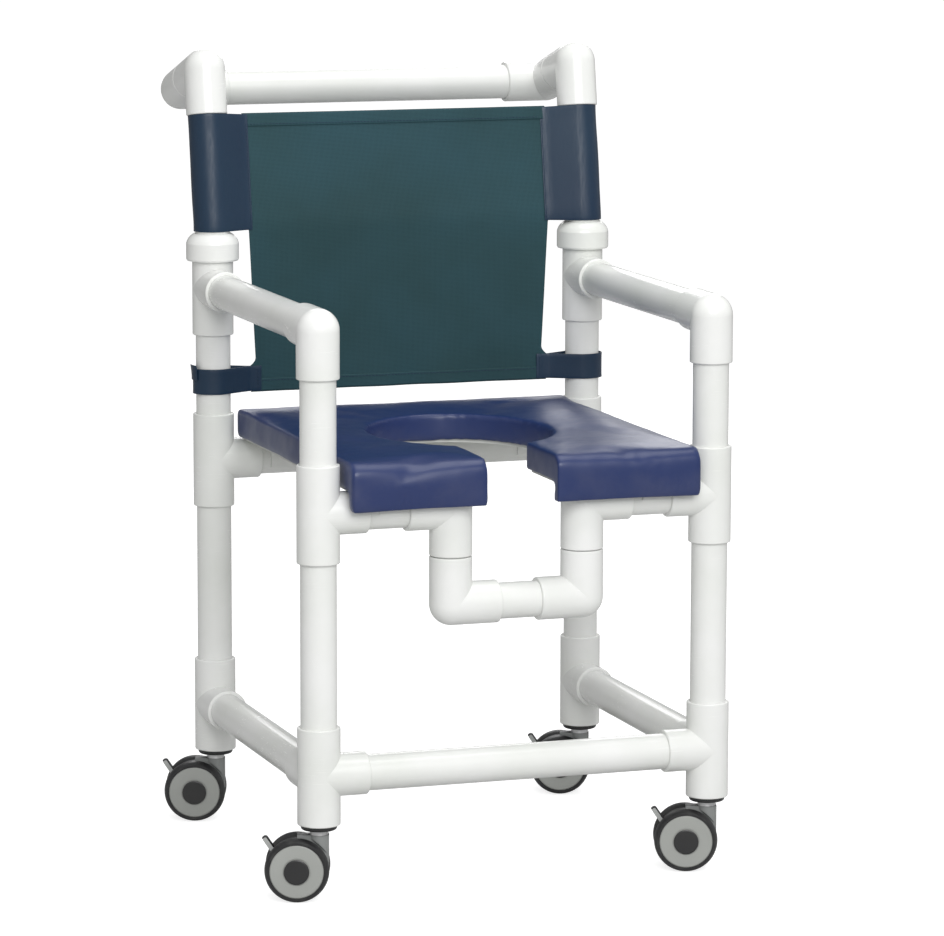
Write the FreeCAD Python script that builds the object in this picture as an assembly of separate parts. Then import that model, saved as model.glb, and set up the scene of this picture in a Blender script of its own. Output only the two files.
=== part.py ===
# Commode chair: a shower and toilet chair of white plastic pipe on four braked twin-wheel casters.
#
# Frame of the part: X to the right seen from the front, -Y is the front, +Z is up, in millimetres.
# The origin is on the floor, in the middle of the four upright posts. "left" is the -X side.
import FreeCAD
import Part
import math
import os

V = FreeCAD.Vector

# ---- driving dimensions: frame ---------------------------------------------------------------
post_spacing = 480.0          # left to right, between post axes
post_depth = 436.0            # front to rear, between post axes
seat_rail_height = 450.0      # axis of the rails under the seat
arm_rail_height = 661.0       # axis of the arm rails
bend_above_tee = 20.0         # from the arm tee's mouth to the bend of the back post
back_lean = 9.5               # degrees rearward
back_run = 190.0              # from the bend to the corner of the top elbow
handle_drop = 16.5            # degrees that the handle legs fall towards the rear
drop_offset = 80.5            # from the middle to the axis of each dropped elbow

# ---- pipe and fittings -----------------------------------------------------------------------
pipe_od = 42.2
pipe_wall = 3.6
fitting_wall = 3.78           # round the socket
fitting_run = 57.0            # centre to mouth along the run of a tee
fitting_reach = 56.0          # centre to mouth of a branch or an elbow
socket_stop = 4.9             # from the crossing pipe's outside to the stop in a socket
cement_gap = 0.12             # all round a pipe in its socket
end_gap = 1.0                 # between a pipe's end and the stop in its socket
seam_gap = 1.0                # between two fittings joined mouth to mouth
mouth_round = 1.5             # on the outer edge of every mouth
bend_radius = 120.0           # centre line of the heat-bent back posts

# ---- collars over the arm tees -----------------------------------------------------------------
collar_wall = 7.1
collar_neck_wall = 1.7
collar_skirt = 23.0           # how far the collar reaches down over the tee
collar_body = 21.0            # height of its widest part
collar_rise = 10.0            # from the tee's mouth to the collar's top
collar_edge = 2.0             # rounding of its rims

# ---- casters -----------------------------------------------------------------------------------
wheel_diameter = 75.0
wheel_width = 20.0
wheel_gap = 0.7               # between a wheel and the body
tyre_crown = 3.5              # how much the tread's middle stands above its shoulders
tyre_edge = 0.6               # how far the outer wall of the tyre stands back from the hub's face
rim_width = 6.3               # from the tread down to the cover
rim_step = 2.2                # ledge that the cover rests on
web_thickness = 3.0
trail = 25.0                  # swivel axis to axle
swivel_rest = -19.0           # degrees, the direction in which the casters stand
axle_diameter = 8.0
stem_diameter = 11.0
journal_diameter = 8.0        # lower end of the stem, on which the caster turns
journal_length = 26.0
running_gap = 0.05            # radial, round a turning shaft
body_half_width = 6.8
body_inset = 3.5              # between the body's round back and the tread
body_rise = 39.0              # from the axle to the body's flat top
boss_radius = 11.5
hub_radius = 10.0
fork_room = 1.2               # between the tread and the boss over it
cap_radius = 14.6
cap_edge = 1.2
cap_lift = 1.4                # how far the cap stands out of the wheel
cover_depth = 3.0
cover_set = 0.9               # how far the cover's face stands back from the wheel's
neck_height = 5.9             # between the caster body and the plug
plug_drop = 5.6               # how far the plug stands out of the foot fitting
plug_skin = 3.0
plug_ribs = 4
rib_thickness = 2.0
grip_ring = 0.5               # the stem's ring that holds it in the plug
stem_top = 4.0                # how far the stem stands above the plug
lever_thickness = 5.0
lever_width = 6.6
lever_length = 31.0
lever_angle = 124.0           # degrees from +X, released
lever_throw = 20.0            # degrees, pressed
lever_room = 0.5              # all round the lever in its slot
trunnion_diameter = 4.0
pivot_inset = 11.15           # from the body's round back to the lever's pivot
pivot_angle = 156.8           # degrees about the axle

# ---- seat ----------------------------------------------------------------------------------------
seat_side_gap = 1.7           # between the pad and the fittings beside it
seat_rear_gap = 4.0           # from the pad's rear edge to the axis of the rear posts
lip_gap = 1.5                 # between the front rail's fittings and the lip
lip_thickness = 17.5
lip_drop = 21.6               # how far the lip hangs below the pad
lip_round = 17.0
pad_thickness = 35.4
pad_edge_round = 7.0
hole_centre_x = -6.5
hole_centre_y = -30.0
hole_half_width = 108.0
hole_half_length = 128.0
slot_half_width = 41.0
board_clearance = 0.25        # between the board and the rail fittings
board_thickness = 8.0
board_proud = 1.35            # how far the board stands below the pad
board_inset = 7.0
pad_gap = 0.3                 # between the pad and the board inside it

# ---- seat clips ------------------------------------------------------------------------------------
clip_width = 26.0
clip_wall = 3.2
clip_gap = 0.15
clip_ledge = 9.55             # the plate's reach past the ring, towards the middle of the seat
clip_plate = 4.0
clip_grip = 30.0              # degrees that the rear clip reaches round below the rail's middle
screw_inset = 6.0
screw_spread = 7.0
screw_diameter = 4.0
screw_bite = 6.0              # how far it goes into the board
screw_head = 8.0
screw_head_height = 2.6

# ---- back sling --------------------------------------------------------------------------------------
sling_thickness = 2.4
sleeve_gap = 1.0              # round the post, and below the top elbow
sleeve_start = -4.0           # along the leaning post, from its bend
sling_rise = 20.0             # from the seat's top to the sling's lower edge
strap_height = 32.0
cutout_top = 43.0             # from the post's axis to the panel's edge, at the sleeves
cutout_bottom = 50.0          # the same at the straps
cutout_round = 8.0

# ---- values worked out from the above ----------------------------------------------------------------
half_x = post_spacing / 2
half_y = post_depth / 2
pipe_r = pipe_od / 2
pipe_bore_r = pipe_r - pipe_wall
socket_r = pipe_r + cement_gap
fitting_r = socket_r + fitting_wall
socket_depth = fitting_reach - pipe_r - socket_stop
stop = socket_depth - end_gap                     # how deep a pipe goes into a mouth
clip_flange = pipe_r + clip_gap + clip_wall + clip_ledge      # from the rail's axis to the plate's end
pair_pitch = 2 * fitting_reach + seam_gap         # centres of two elbows joined mouth to mouth
arm_tee_top = arm_rail_height + fitting_run
back_bend_height = arm_tee_top + bend_above_tee
lean = math.radians(back_lean)
up_back = V(0, math.sin(lean), math.cos(lean))
drop = math.radians(handle_drop)
leg_back = V(0, math.cos(drop), -math.sin(drop))

wheel_r = wheel_diameter / 2
wheel_mid = body_half_width + wheel_gap + wheel_width / 2
cover_radius = wheel_r - rim_width
body_radius = wheel_r - body_inset
body_top = wheel_r + body_rise
foot_bottom = body_top + neck_height + plug_drop
base_rail_height = foot_bottom + fitting_run      # axis of the rails above the casters

board_bottom = seat_rail_height + fitting_r + board_clearance
seat_under = board_bottom + board_proud
seat_top = seat_under + pad_thickness
lip_bottom = seat_under - lip_drop
seat_half_width = half_x - fitting_r - seat_side_gap
seat_front = -(half_y + fitting_r + lip_gap + lip_thickness)
seat_rear = half_y - seat_rear_gap
clip_offset = (half_x + drop_offset) / 2          # the middle of each front rail stub

sling_bottom = seat_top + sling_rise
strap_top = sling_bottom + strap_height
sleeve_end = back_run - fitting_reach - sleeve_gap

X = V(1, 0, 0)
Y = V(0, 1, 0)
Z = V(0, 0, 1)


def post(side, end, height):
    """The point at a height on one of the four post axes; side and end are -1 or +1."""
    return V(side * half_x, end * half_y, height)


def mirrored(shape):
    """The same piece on the other side of the chair."""
    return shape.mirror(V(0, 0, 0), X)


def both_sides(shape):
    return Part.makeCompound([shape, mirrored(shape)])


def tube(start, end, outer=pipe_r, inner=pipe_bore_r):
    axis = end - start
    rod = Part.makeCylinder(outer, axis.Length, start, axis)
    return rod.cut(Part.makeCylinder(inner, axis.Length, start, axis))


def pipe_between(start, start_reach, end, end_reach):
    """A pipe between two fitting centres, set into both of their sockets."""
    way = (end - start).normalize()
    first = start + way * (start_reach - stop)
    last = end - way * (end_reach - stop)
    return tube(first, last)


def fitting(centre, arms, corner=False):
    """A moulded socket fitting. Each arm is (direction, centre to mouth); a corner gets a dome."""
    body = None
    bore = None
    for way, reach in arms:
        arm = Part.makeCylinder(fitting_r, reach, centre, way)
        mouth = [edge for edge in arm.Edges
                 if edge.Closed and abs((edge.CenterOfMass - centre).dot(way) - reach) < 0.01]
        arm = arm.makeFillet(mouth_round, mouth)
        channel = Part.makeCylinder(pipe_bore_r, reach + 1, centre, way)
        floor = centre + V(way) * (reach - socket_depth)
        socket = Part.makeCylinder(socket_r, socket_depth + 1, floor, way)
        channel = channel.fuse(socket)
        body = arm if body is None else body.fuse(arm)
        bore = channel if bore is None else bore.fuse(channel)
    if corner:
        body = body.fuse(Part.makeSphere(fitting_r, centre))
    return body.cut(bore)


def revolved(points, centre, axis, across):
    """Turn an outline of (along, radius) points about an axis; a point may be a 3-point arc's middle."""
    edges = []
    place = [centre + V(axis) * a + V(across) * r for a, r, _ in points]
    index = 0
    count = len(points)
    while index < count:
        here = place[index]
        nxt = (index + 1) % count
        if points[nxt][2]:
            end = (index + 2) % count
            edges.append(Part.Arc(here, place[nxt], place[end]).toShape())
            index += 2
        else:
            edges.append(Part.LineSegment(here, place[nxt]).toShape())
            index += 1
    face = Part.Face(Part.Wire(edges))
    return face.revolve(centre, axis, 360)


def corner_point(*values):
    return values + (False,)


def arc_point(*values):
    return values + (True,)


# ---- base: foot fittings and their rails -----------------------------------------------------------
def front_foot_fitting():
    arms = [(Z, fitting_run), (-Z, fitting_run), (X, fitting_reach), (Y, fitting_reach)]
    return fitting(post(-1, -1, base_rail_height), arms)


def rear_foot_tee():
    arms = [(Z, fitting_run), (-Z, fitting_run), (-Y, fitting_reach)]
    return fitting(post(-1, 1, base_rail_height), arms)


def base_side_rail():
    front = post(-1, -1, base_rail_height)
    rear = post(-1, 1, base_rail_height)
    return pipe_between(front, fitting_reach, rear, fitting_reach)


def base_front_rail():
    left = post(-1, -1, base_rail_height)
    right = post(1, -1, base_rail_height)
    return pipe_between(left, fitting_reach, right, fitting_reach)


# ---- posts ---------------------------------------------------------------------------------------------
def leg(end):
    foot = post(-1, end, base_rail_height)
    seat = post(-1, end, seat_rail_height)
    return pipe_between(foot, fitting_run, seat, fitting_run)


def arm_post(end):
    """Seat tee to arm elbow at the front, seat tee to arm tee at the rear."""
    reach = fitting_reach if end < 0 else fitting_run
    seat = post(-1, end, seat_rail_height)
    arm = post(-1, end, arm_rail_height)
    return pipe_between(seat, fitting_run, arm, reach)


# ---- seat rails, with the dropped front one ----------------------------------------------------------------
def seat_tee(end):
    arms = [(Z, fitting_run), (-Z, fitting_run), (X, fitting_reach)]
    return fitting(post(-1, end, seat_rail_height), arms)


def rear_seat_rail():
    left = post(-1, 1, seat_rail_height)
    right = post(1, 1, seat_rail_height)
    return pipe_between(left, fitting_reach, right, fitting_reach)


def drop_corner(side, level):
    """Corner of a dropped elbow; level 0 is at the seat rails, 1 at the cross tube."""
    return V(side * drop_offset, -half_y, seat_rail_height - level * pair_pitch)


def front_rail_stub():
    return pipe_between(post(-1, -1, seat_rail_height), fitting_reach, drop_corner(-1, 0), fitting_reach)


def drop_elbow(level):
    sideways = -X if level == 0 else X
    upright = -Z if level == 0 else Z
    arms = [(sideways, fitting_reach), (upright, fitting_reach)]
    return fitting(drop_corner(-1, level), arms, corner=True)


def drop_elbows():
    pieces = [drop_elbow(0), drop_elbow(1)]
    return Part.makeCompound(pieces + [mirrored(piece) for piece in pieces])


def drop_cross_tube():
    return pipe_between(drop_corner(-1, 1), fitting_reach, drop_corner(1, 1), fitting_reach)


def close_nipples():
    """Short pipes hidden inside the fittings that meet mouth to mouth."""
    front = pipe_between(drop_corner(-1, 0), fitting_reach, drop_corner(-1, 1), fitting_reach)
    back = pipe_between(top_corner(), fitting_reach, handle_corner(), fitting_reach)
    return Part.makeCompound([front, mirrored(front), back, mirrored(back)])


# ---- arms ----------------------------------------------------------------------------------------------------
def arm_elbow():
    arms = [(-Z, fitting_reach), (Y, fitting_reach)]
    return fitting(post(-1, -1, arm_rail_height), arms, corner=True)


def arm_tee():
    arms = [(Z, fitting_run), (-Z, fitting_run), (-Y, fitting_reach)]
    return fitting(post(-1, 1, arm_rail_height), arms)


def arm_rail():
    front = post(-1, -1, arm_rail_height)
    rear = post(-1, 1, arm_rail_height)
    return pipe_between(front, fitting_reach, rear, fitting_reach)


# ---- back posts and handle ---------------------------------------------------------------------------------------
def back_bend():
    return post(-1, 1, back_bend_height)


def top_corner():
    return back_bend() + up_back * back_run


def handle_corner():
    return top_corner() + leg_back * pair_pitch


def back_collar():
    """A bell that slides down the back post and covers the mouth of the arm tee."""
    inside = fitting_r + cement_gap
    bore = pipe_r + 2 * cement_gap
    outer = inside + collar_wall
    neck = bore + collar_neck_wall
    bottom = arm_tee_top - collar_skirt
    shoulder = bottom + collar_body
    roof = arm_tee_top + seam_gap
    top = arm_tee_top + collar_rise
    outline = [corner_point(bottom, inside),
               corner_point(bottom, outer - collar_edge / 2),
               corner_point(bottom + collar_edge, outer),
               corner_point(shoulder, outer),
               arc_point((shoulder + top) / 2, (outer + neck) / 2 + collar_edge),
               corner_point(top, neck),
               corner_point(top, bore),
               corner_point(roof, bore),
               corner_point(roof, inside)]
    return revolved(outline, post(-1, 1, 0), Z, X)


def back_post():
    """One pipe, upright in the arm tee and heat-bent to lean back above the collar."""
    tangent = bend_radius * math.tan(lean / 2)
    foot = post(-1, 1, arm_rail_height + fitting_run - stop)
    bend_start = back_bend() - Z * tangent
    bend_end = back_bend() + up_back * tangent
    top = top_corner() - up_back * (fitting_reach - stop)
    middle_angle = lean / 2
    hub = bend_start + Y * bend_radius
    middle = hub + V(0, -math.cos(middle_angle), math.sin(middle_angle)) * bend_radius
    path = Part.Wire([Part.LineSegment(foot, bend_start).toShape(),
                      Part.Arc(bend_start, middle, bend_end).toShape(),
                      Part.LineSegment(bend_end, top).toShape()])
    rings = []
    for radius in (pipe_r, pipe_bore_r):
        ring = Part.Wire(Part.makeCircle(radius, foot, Z))
        rings.append(path.makePipeShell([ring], True, False))
    return rings[0].cut(rings[1])


def back_top_elbow():
    arms = [(-up_back, fitting_reach), (leg_back, fitting_reach)]
    return fitting(top_corner(), arms, corner=True)


def handle_elbow():
    arms = [(-leg_back, fitting_reach), (X, fitting_reach)]
    return fitting(handle_corner(), arms, corner=True)


def push_bar():
    left = handle_corner()
    right = V(-left.x, left.y, left.z)
    return pipe_between(left, fitting_reach, right, fitting_reach)


# ---- back sling ----------------------------------------------------------------------------------------------------
def sling_side_profile():
    """The panel seen from the side: upright at the bottom, leaning above the bend."""
    half = sling_thickness / 2
    low = V(0, half_y, sling_bottom)
    bend = V(0, half_y, back_bend_height)
    top = bend + up_back * sleeve_end
    square = V(0, math.cos(lean), -math.sin(lean))
    corner = V(0, math.cos(lean / 2), -math.sin(lean / 2)) * (half / math.cos(lean / 2))
    ring = [low - Y * half, bend - corner, top - square * half,
            top + square * half, bend + corner, low + Y * half]
    return Part.Face(Part.makePolygon(ring + [ring[0]]))


def side_cutout():
    """The gap between the panel and the post, from the strap up to the sleeve."""
    top = back_bend_height + sleeve_start
    far = half_x + fitting_r
    ring = [V(half_x - cutout_bottom, 0, strap_top), V(far, 0, strap_top),
            V(far, 0, top), V(half_x - cutout_top, 0, top)]
    face = Part.Face(Part.makePolygon(ring + [ring[0]]))
    block = face.extrude(V(0, post_depth, 0))
    inner = [edge for edge in block.Edges
             if edge.Vertexes[0].X < half_x and edge.Vertexes[-1].X < half_x
             and abs(edge.Length - post_depth) < 0.01]
    return block.makeFillet(cutout_round, inner)


def back_sling():
    reach = half_x - pipe_r - sleeve_gap
    panel = sling_side_profile().extrude(V(2 * reach, 0, 0))
    panel.translate(V(-reach, 0, 0))
    cut = side_cutout()
    panel = panel.cut(cut).cut(mirrored(cut))
    inner = pipe_r + sleeve_gap
    outer = inner + sling_thickness
    start = V(half_x, half_y, back_bend_height) + up_back * sleeve_start
    end = V(half_x, half_y, back_bend_height) + up_back * sleeve_end
    sleeve = tube(start, end, outer, inner)
    strap = tube(V(half_x, half_y, sling_bottom), V(half_x, half_y, strap_top), outer, inner)
    for piece in (sleeve, strap):
        panel = panel.fuse(piece).fuse(mirrored(piece))
    return panel


# ---- seat ------------------------------------------------------------------------------------------------------------
def keyhole(extra, low, high):
    """The open-front hole in the seat as a solid, larger all round by extra."""
    oval = Part.Ellipse(V(0, 0, low), hole_half_length + extra, hole_half_width + extra)
    hole = Part.Face(Part.Wire(oval.toShape())).extrude(V(0, 0, high - low))
    hole.rotate(V(0, 0, 0), Z, 90)
    hole.translate(V(hole_centre_x, hole_centre_y, 0))
    half = slot_half_width + extra
    front = seat_front - hole_half_length
    slot = Part.makeBox(2 * half, hole_centre_y - front, high - low, V(hole_centre_x - half, front, low))
    return hole.fuse(slot)


def seat_pad():
    """Foam and vinyl over a board: flat, with a waterfall lip in front of the front rail."""
    nose = lip_round
    rear = pad_edge_round
    slope = math.sqrt(0.5)
    lip_back = seat_front + lip_thickness
    edges = [
        Part.LineSegment(V(0, lip_back, seat_under), V(0, lip_back, lip_bottom)),
        Part.LineSegment(V(0, lip_back, lip_bottom), V(0, seat_front, lip_bottom)),
        Part.LineSegment(V(0, seat_front, lip_bottom), V(0, seat_front, seat_top - nose)),
        Part.Arc(V(0, seat_front, seat_top - nose),
                 V(0, seat_front + nose * (1 - slope), seat_top - nose * (1 - slope)),
                 V(0, seat_front + nose, seat_top)),
        Part.LineSegment(V(0, seat_front + nose, seat_top), V(0, seat_rear - rear, seat_top)),
        Part.Arc(V(0, seat_rear - rear, seat_top),
                 V(0, seat_rear - rear * (1 - slope), seat_top - rear * (1 - slope)),
                 V(0, seat_rear, seat_top - rear)),
        Part.LineSegment(V(0, seat_rear, seat_top - rear), V(0, seat_rear, seat_under)),
        Part.LineSegment(V(0, seat_rear, seat_under), V(0, lip_back, seat_under)),
    ]
    face = Part.Face(Part.Wire([edge.toShape() for edge in edges]))
    face.translate(V(-seat_half_width, 0, 0))
    pad = face.extrude(V(2 * seat_half_width, 0, 0))
    pad = pad.cut(keyhole(0, lip_bottom - 1, seat_top + 1))
    return pad.cut(board_shape(pad_gap, board_bottom - 1, board_bottom + board_thickness + pad_gap))


def board_shape(extra, low, high):
    """Outline of the seat board, larger all round by extra."""
    half = seat_half_width - board_inset + extra
    front = seat_front + lip_thickness + board_inset - extra
    rear = seat_rear - board_inset + extra
    block = Part.makeBox(2 * half, rear - front, high - low, V(-half, front, low))
    return block.cut(keyhole(board_inset - extra, low - 1, high + 1))


def seat_board():
    """The board inside the pad, with pilot holes for the clips' screws."""
    board = board_shape(0, board_bottom, board_bottom + board_thickness)
    for end in (-1, 1):
        for side in (-1, 1):
            for point in clip_screw_points(side, end):
                pilot = Part.makeCylinder(screw_diameter / 2 + cement_gap, screw_bite + end_gap,
                                          V(point.x, point.y, board_bottom), Z)
                board = board.cut(pilot)
    return board


def clip_frame(end):
    """Axis of the rail under a clip, and the direction towards the middle of the seat."""
    return V(0, end * half_y, seat_rail_height), V(0, -end, 0)


def rail_clip(side, end):
    """A saddle on the dropped front rail, and a C-clip that snaps round the rear one."""
    axis, inward = clip_frame(end)
    start = axis + X * (side * clip_offset - clip_width / 2)
    inner = pipe_r + clip_gap
    outer = inner + clip_wall
    ring = Part.makeCylinder(outer, clip_width, start, X)
    edge = outer - clip_wall / 2
    near = min(-inward.y * edge, inward.y * clip_flange)
    far = max(-inward.y * edge, inward.y * clip_flange)
    plate = Part.makeBox(clip_width, far - near, clip_plate,
                         V(start.x, axis.y + near, board_bottom - clip_plate))
    neck = Part.makeBox(clip_width, 2 * edge, board_bottom - axis.z, V(start.x, axis.y - edge, axis.z))
    body = ring.fuse(neck).fuse(plate).cut(Part.makeCylinder(inner, clip_width, start, X))
    grip = 0 if end < 0 else pipe_r * math.sin(math.radians(clip_grip))
    cutter = Part.makeBox(clip_width, 4 * outer, 2 * outer,
                          V(start.x, axis.y - 2 * outer, axis.z - grip - 2 * outer))
    body = body.cut(cutter)
    for point in clip_screw_points(side, end):
        body = body.cut(Part.makeCylinder(screw_diameter / 2 + cement_gap, 3 * clip_plate, point, Z))
    return body


def clip_screw_points(side, end):
    """Middle of the underside of each screw's head."""
    axis, inward = clip_frame(end)
    spot = axis.y + inward.y * (clip_flange - screw_inset)
    height = board_bottom - clip_plate - screw_head_height
    return [V(side * clip_offset + dx, spot, height) for dx in (-screw_spread, screw_spread)]


def seat_clips(end):
    return Part.makeCompound([rail_clip(side, end) for side in (-1, 1)])


def seat_screw(point):
    """Pan head under the clip's flange; the shank goes through it into the board."""
    slope = 0.7
    head = Part.makeCone(screw_head / 2 * slope, screw_head / 2, screw_head_height, point, Z)
    length = screw_head_height + clip_plate + screw_bite
    return head.fuse(Part.makeCylinder(screw_diameter / 2, length, point, Z))


def seat_screws():
    pieces = []
    for end in (-1, 1):
        for side in (-1, 1):
            pieces += [seat_screw(point) for point in clip_screw_points(side, end)]
    return Part.makeCompound(pieces)


# ---- casters: each is modelled at the origin, trailing towards -X, then set under its post ---------------------
caster_places = {"front_left": (-1, -1), "front_right": (1, -1), "rear_left": (-1, 1), "rear_right": (1, 1)}


def placed(shape, side, end):
    shape = shape.copy()
    shape.rotate(V(0, 0, 0), Z, swivel_rest)
    shape.translate(V(side * half_x, end * half_y, 0))
    return shape


def axle_centre():
    return V(-trail, 0, wheel_r)


def lever_pivot():
    angle = math.radians(pivot_angle)
    return axle_centre() + V(math.cos(angle), 0, math.sin(angle)) * (body_radius - pivot_inset)


def caster_plug():
    """Ribbed plug in the foot fitting, bored for the stem."""
    top = foot_bottom + socket_depth - end_gap
    low = foot_bottom - plug_drop
    bore = stem_diameter / 2 + running_gap
    inside = pipe_r - plug_skin
    floor = foot_bottom + plug_skin
    sleeve = bore + plug_skin
    swell = plug_skin * (1 - math.sqrt(0.5))
    outline = [corner_point(low, bore), corner_point(low, inside),
               arc_point(low + swell, pipe_r - swell), corner_point(low + plug_skin, pipe_r),
               corner_point(top, pipe_r), corner_point(top, inside),
               corner_point(floor, inside), corner_point(floor, sleeve),
               corner_point(top, sleeve), corner_point(top, bore)]
    body = revolved(outline, V(0, 0, 0), Z, X)
    root = sleeve - plug_skin / 2
    rib_length = inside + plug_skin / 2 - root
    for turn in range(plug_ribs):
        rib = Part.makeBox(rib_length, rib_thickness, top - floor, V(root, -rib_thickness / 2, floor))
        rib.rotate(V(0, 0, 0), Z, 360 * (turn + 0.5) / plug_ribs)
        body = body.fuse(rib)
    return body


def caster_stem():
    """Steel stem with the collar that the caster turns against and a grip ring near its top."""
    shoulder = body_top + running_gap
    collar_high = foot_bottom - plug_drop - running_gap
    top = foot_bottom + socket_depth + stem_top
    r_stem = stem_diameter / 2
    r_low = journal_diameter / 2
    r_ring = r_stem + grip_ring
    r_tip = r_stem - grip_ring
    ring_low = top - 6 * grip_ring
    outline = [corner_point(shoulder - journal_length, 0), corner_point(shoulder - journal_length, r_low),
               corner_point(shoulder, r_low), corner_point(shoulder, boss_radius - grip_ring),
               corner_point(collar_high, boss_radius - 3 * grip_ring), corner_point(collar_high, r_stem),
               corner_point(ring_low, r_stem), corner_point(ring_low + 2 * grip_ring, r_ring),
               corner_point(top, r_tip), corner_point(top, 0)]
    return revolved(outline, V(0, 0, 0), Z, X)


def lever_sector(radius, first, last):
    """A pie slice about the lever's pivot, between two angles in the side view."""
    pivot = lever_pivot()

    def ray(angle):
        turn = math.radians(angle)
        return pivot + V(math.cos(turn), 0, math.sin(turn)) * radius

    edges = [Part.LineSegment(pivot, ray(first)).toShape(),
             Part.Arc(ray(first), ray((first + last) / 2), ray(last)).toShape(),
             Part.LineSegment(ray(last), pivot).toShape()]
    return Part.Face(Part.Wire(edges))


def lever_blade(angle, extra):
    """The lever's flat blade and round hub at an angle, larger all round by extra."""
    half = lever_width / 2 + extra
    thick = lever_thickness / 2 + extra
    blade = Part.makeBox(lever_length, 2 * half, 2 * thick, V(0, -half, -thick))
    toe = [edge for edge in blade.Edges
           if abs(edge.CenterOfMass.x - lever_length) < 0.01 and abs(edge.CenterOfMass.y) < 0.01]
    blade = blade.makeFillet(lever_thickness * 0.4, toe)
    hub = Part.makeCylinder(lever_thickness + extra, 2 * half, V(0, -half, 0), Y)
    lever = blade.fuse(hub)
    lever.rotate(V(0, 0, 0), Y, -angle)
    lever.translate(lever_pivot())
    return lever


def lever_slot():
    """The room that the lever sweeps in the body, from released to pressed."""
    half = lever_width / 2 + lever_room
    pressed = lever_angle + lever_throw
    swept = lever_sector(2 * body_radius, lever_angle, pressed)
    swept.translate(V(0, -half, 0))
    swept = swept.extrude(V(0, 2 * half, 0))
    return swept.fuse(lever_blade(lever_angle, lever_room)).fuse(lever_blade(pressed, lever_room))


def caster_body():
    """Grey moulding between the wheels: a round back, a boss for the stem and a slot for the lever."""
    centre = axle_centre()
    half = body_half_width
    disc = Part.makeCylinder(body_radius, 2 * half, centre - Y * half, Y)
    below = Part.makeBox(4 * body_radius, 4 * half, body_radius,
                         centre - V(2 * body_radius, 2 * half, body_radius + hub_radius))
    disc = disc.cut(below)
    hub = Part.makeCylinder(hub_radius + 2, 2 * half, centre - Y * half, Y)
    neck = Part.makeBox(trail + boss_radius, 2 * half, body_rise, V(-trail, -half, centre.z))
    boss = Part.makeCylinder(boss_radius, journal_length, V(0, 0, body_top - journal_length), Z)
    for side in (-1, 1):
        boss = boss.cut(Part.makeCylinder(wheel_r + fork_room, 4 * half, centre + Y * (side * half), Y * side))
    body = disc.fuse(hub).fuse(neck).fuse(boss)
    journal = Part.makeCylinder(journal_diameter / 2 + running_gap, journal_length + end_gap,
                                V(0, 0, body_top - journal_length - end_gap), Z)
    axle = Part.makeCylinder(axle_diameter / 2 + running_gap, 4 * half, centre - Y * 2 * half, Y)
    pin = Part.makeCylinder(trunnion_diameter / 2 + running_gap, 4 * half, lever_pivot() - Y * 2 * half, Y)
    return body.cut(journal).cut(axle).cut(lever_slot()).cut(pin)


def brake_lever():
    """Foot lever in the body's slot: pressed down it locks the wheels."""
    reach = body_half_width - lever_room
    pins = Part.makeCylinder(trunnion_diameter / 2, 2 * reach, lever_pivot() - Y * reach, Y)
    return lever_blade(lever_angle, 0).fuse(pins)


def caster_axle():
    """Axle rod with a round cap on each end."""
    face = wheel_mid + wheel_width / 2
    cap_in = face - 0.2
    cap_out = face + cap_lift
    half = [(cap_in, axle_diameter / 2), (cap_in, cap_radius),
            (cap_out - cap_edge / 2, cap_radius), (cap_out, cap_radius - cap_edge)]
    outline = [corner_point(cap_out, 0), corner_point(-cap_out, 0)]
    outline += [corner_point(-along, radius) for along, radius in reversed(half)]
    outline += [corner_point(along, radius) for along, radius in half]
    return revolved(outline, axle_centre(), Y, Z)


def caster_wheel(side):
    """One wheel: bored hub, thin web and a crowned tyre, with a seat for its cover."""
    inner = wheel_mid - wheel_width / 2
    outer = wheel_mid + wheel_width / 2
    wall = outer - tyre_edge
    shoulder = wheel_r - tyre_crown
    rim = cover_radius - rim_step
    socket = cover_radius + cement_gap
    seat = outer - cover_depth
    web_in = wheel_mid - 2 * web_thickness / 3
    web_out = web_in + web_thickness
    bore = axle_diameter / 2 + running_gap
    hub = hub_radius - 1
    outline = [corner_point(inner, bore), corner_point(inner, hub), corner_point(web_in, hub),
               corner_point(web_in, rim), corner_point(inner, rim), corner_point(inner, shoulder),
               arc_point(wheel_mid, wheel_r), corner_point(wall, shoulder), corner_point(wall, socket),
               corner_point(seat, socket), corner_point(seat, rim), corner_point(web_out, rim),
               corner_point(web_out, hub), corner_point(seat, hub), corner_point(seat, bore)]
    outline = [(side * along, radius, arc) for along, radius, arc in outline]
    return revolved(outline, axle_centre(), Y, Z)


def wheel_cover(side):
    """Grey disc that closes the wheel's outer face round the axle cap."""
    outer = wheel_mid + wheel_width / 2
    inner = outer - cover_depth + cement_gap
    face = outer - cover_set
    floor = face - tyre_edge
    hole = axle_diameter / 2 + 1
    recess = cap_radius + cap_edge
    outline = [corner_point(inner, hole), corner_point(inner, cover_radius),
               corner_point(face - cap_edge / 2, cover_radius), corner_point(face, cover_radius - cap_edge),
               corner_point(face, recess), corner_point(floor, recess), corner_point(floor, hole)]
    outline = [(side * along, radius, arc) for along, radius, arc in outline]
    return revolved(outline, axle_centre(), Y, Z)


def caster_nodes():
    """The seven pieces of one caster, at the origin."""
    return {"body": caster_body(), "axle": caster_axle(), "brake_lever": brake_lever(),
            "wheel_front": caster_wheel(-1), "wheel_rear": caster_wheel(1),
            "cover_front": wheel_cover(-1), "cover_rear": wheel_cover(1)}


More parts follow.
